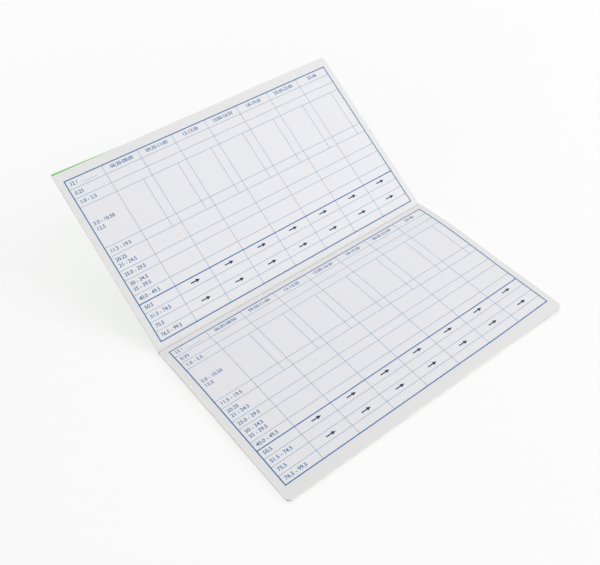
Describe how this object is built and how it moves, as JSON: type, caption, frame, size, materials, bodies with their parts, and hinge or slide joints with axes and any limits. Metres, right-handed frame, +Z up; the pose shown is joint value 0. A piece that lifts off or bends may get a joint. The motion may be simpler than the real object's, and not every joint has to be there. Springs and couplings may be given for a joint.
{
  "type": "saddle-stitched log book",
  "caption": "Landscape stapled log book lying open at a ruled daily record table, its front half standing up from the fold, with leaves that turn.",
  "frame": {"origin": "middle of the back cover's flat resting face", "axes": "+X along the fold to the right as the pages are read, +Y from the back half towards the front half, +Z up"},
  "size_m": [0.21, 0.2316, 0.0703],
  "materials": {
    "leaf_paper": "smooth uncoated white paper, printed with slate blue rules",
    "cover_card": "thin satin card, green outside",
    "staple_wire": "bright drawn stitching wire"
  },
  "bodies": {
    "back_half": {"back_cover": "cover_card", "leaf_15": "leaf_paper", "leaf_16": "leaf_paper", "leaf_17": "leaf_paper", "leaf_18": "leaf_paper", "leaf_19": "leaf_paper", "leaf_20": "leaf_paper", "leaf_21": "leaf_paper", "leaf_22": "leaf_paper", "leaf_23": "leaf_paper", "leaf_24": "leaf_paper"},
    "front_half": {"front_cover": "cover_card", "leaf_01": "leaf_paper", "leaf_02": "leaf_paper", "leaf_03": "leaf_paper", "leaf_04": "leaf_paper", "leaf_05": "leaf_paper", "leaf_06": "leaf_paper", "leaf_07": "leaf_paper", "leaf_08": "leaf_paper"},
    "fold_middle": {"spine_fold": "cover_card", "sheet_fold_01": "leaf_paper", "sheet_fold_02": "leaf_paper", "sheet_fold_03": "leaf_paper", "sheet_fold_04": "leaf_paper", "sheet_fold_05": "leaf_paper", "sheet_fold_06": "leaf_paper", "sheet_fold_07": "leaf_paper", "sheet_fold_08": "leaf_paper", "sheet_fold_09": "leaf_paper", "sheet_fold_10": "leaf_paper", "staple_left": "staple_wire", "staple_right": "staple_wire"},
    "turning_leaf_09": {"leaf_09": "leaf_paper"},
    "turning_leaf_10": {"leaf_10": "leaf_paper"},
    "turning_leaf_11": {"leaf_11": "leaf_paper"},
    "turning_leaf_12": {"leaf_12": "leaf_paper"},
    "turning_leaf_13": {"leaf_13": "leaf_paper"},
    "turning_leaf_14": {"leaf_14": "leaf_paper"}
  },
  "joints": [
    {"name": "front_half_fold", "type": "hinge", "parent": "back_half", "child": "front_half", "pos_m": [0, 0.07, 0.003], "axis": [1, 0, 0], "range_deg": [-33, 144.5], "deforming": ["spine_fold", "sheet_fold_01", "sheet_fold_02", "sheet_fold_03", "sheet_fold_04", "sheet_fold_05", "sheet_fold_06", "sheet_fold_07", "sheet_fold_08", "sheet_fold_09", "sheet_fold_10"]},
    {"name": "fold_middle_follow", "type": "hinge", "parent": "back_half", "child": "fold_middle", "pos_m": [0, 0.07, 0.003], "axis": [1, 0, 0], "range_deg": [-16.5, 72.25]},
    {"name": "leaf_14_lift", "type": "hinge", "parent": "back_half", "child": "turning_leaf_14", "pos_m": [0, 0.07, 0.003], "axis": [1, 0, 0], "range_deg": [-3, 0]},
    {"name": "leaf_13_lift", "type": "hinge", "parent": "turning_leaf_14", "child": "turning_leaf_13", "pos_m": [0, 0.07, 0.003], "axis": [1, 0, 0], "range_deg": [-5, 0]},
    {"name": "leaf_12_lift", "type": "hinge", "parent": "turning_leaf_13", "child": "turning_leaf_12", "pos_m": [0, 0.07, 0.003], "axis": [1, 0, 0], "range_deg": [-10, 0]},
    {"name": "leaf_11_turn", "type": "hinge", "parent": "turning_leaf_12", "child": "turning_leaf_11", "pos_m": [0, 0.07, 0.003], "axis": [1, 0, 0], "range_deg": [-144, 0]},
    {"name": "leaf_09_lift", "type": "hinge", "parent": "front_half", "child": "turning_leaf_09", "pos_m": [0, 0.07, 0.003], "axis": [-1, 0, 0], "range_deg": [-4, 0]},
    {"name": "leaf_10_lift", "type": "hinge", "parent": "turning_leaf_09", "child": "turning_leaf_10", "pos_m": [0, 0.07, 0.003], "axis": [-1, 0, 0], "range_deg": [-6, 0]}
  ],
  "couplings": [
    {"joint": "fold_middle_follow", "follows": "front_half_fold", "ratio": 0.5}
  ]
}
